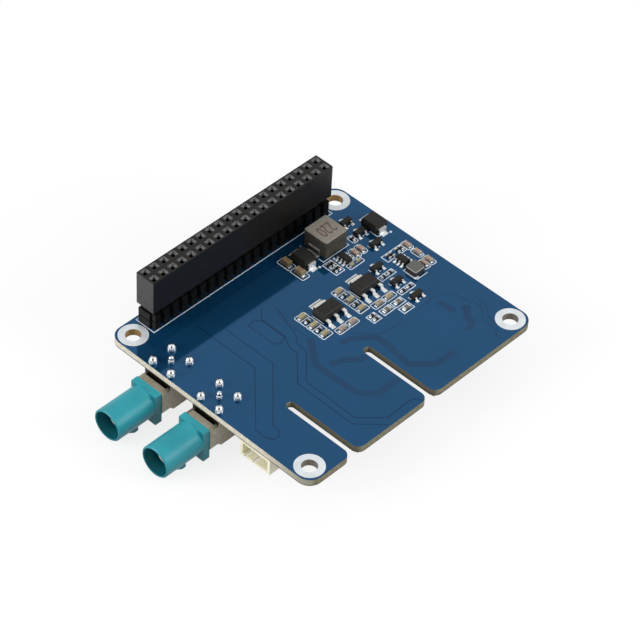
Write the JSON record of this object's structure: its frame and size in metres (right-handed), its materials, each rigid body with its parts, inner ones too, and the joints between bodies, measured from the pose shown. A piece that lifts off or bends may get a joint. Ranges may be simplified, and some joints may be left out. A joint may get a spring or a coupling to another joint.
{
  "type": "camera expansion board",
  "caption": "Expansion circuit board with coaxial camera ports, a tall pin socket, ribbon-cable slots, power regulators and mounting holes.",
  "frame": {"origin": "centre of the four mounting holes on the board face that carries the pin socket", "axes": "+Z out of the board on the pin socket's side; +X along the pin socket, away from the coaxial ports; +Y across the board towards the pin socket"},
  "size_m": [0.0787, 0.056, 0.0232],
  "materials": {
    "board": "gloss",
    "black_moulding": "satin",
    "gilt_metal": "polished",
    "solder": "satin",
    "teal_moulding": "satin",
    "die_cast": "satin",
    "plated_metal": "polished",
    "white_insulator": "matte",
    "ivory_moulding": "satin",
    "tinned_metal": "satin",
    "ferrite": "matte",
    "dark_ferrite": "matte",
    "grey_plate": "matte",
    "dark_moulding": "matte",
    "tan_ceramic": "satin",
    "rose_ceramic": "satin",
    "black_resistor": "gloss"
  },
  "bodies": {
    "root": {"circuit_board": "board", "header_housing": "black_moulding", "header_spacer_upper": "black_moulding", "header_spacer_lower": "black_moulding", "header_contacts": "gilt_metal", "header_solder": "solder", "coax_housing_1": "teal_moulding", "coax_housing_2": "teal_moulding", "coax_shell_1": "die_cast", "coax_shell_2": "die_cast", "coax_sleeve_1": "plated_metal", "coax_sleeve_2": "plated_metal", "coax_insulator_1": "white_insulator", "coax_insulator_2": "white_insulator", "coax_centre_pin_1": "gilt_metal", "coax_centre_pin_2": "gilt_metal", "coax_solder": "solder", "wire_socket_housing": "ivory_moulding", "wire_socket_pins": "tinned_metal", "wire_socket_tabs": "tinned_metal", "ribbon_socket_housing_1": "ivory_moulding", "ribbon_socket_housing_2": "ivory_moulding", "ribbon_socket_contacts": "gilt_metal", "ribbon_socket_tabs": "tinned_metal", "power_inductor_core": "ferrite", "power_inductor_terminals": "tinned_metal", "small_inductor_base": "dark_ferrite", "small_inductor_cap": "grey_plate", "small_inductor_terminals": "tinned_metal", "regulator_bodies": "dark_moulding", "regulator_leads": "tinned_metal", "diode_bodies": "dark_moulding", "diode_terminals": "tinned_metal", "transistor_bodies": "dark_moulding", "transistor_leads": "tinned_metal", "switch_chip_bodies": "dark_moulding", "switch_chip_leads": "tinned_metal", "bulk_capacitor_bodies": "tan_ceramic", "bulk_capacitor_ends": "tinned_metal", "tan_capacitor_bodies": "tan_ceramic", "tan_capacitor_ends": "tinned_metal", "rose_capacitor_bodies": "rose_ceramic", "rose_capacitor_ends": "tinned_metal", "resistor_bodies": "black_resistor", "resistor_ends": "tinned_metal", "small_resistor_bodies": "black_resistor", "small_resistor_ends": "tinned_metal", "small_capacitor_bodies": "tan_ceramic", "small_capacitor_ends": "tinned_metal", "receiver_chip_body": "dark_moulding", "receiver_chip_pads": "tinned_metal", "crystal_base": "tan_ceramic", "crystal_lid": "tinned_metal", "underside_capacitor_bodies": "tan_ceramic", "underside_capacitor_ends": "tinned_metal"}
  },
  "joints": []
}
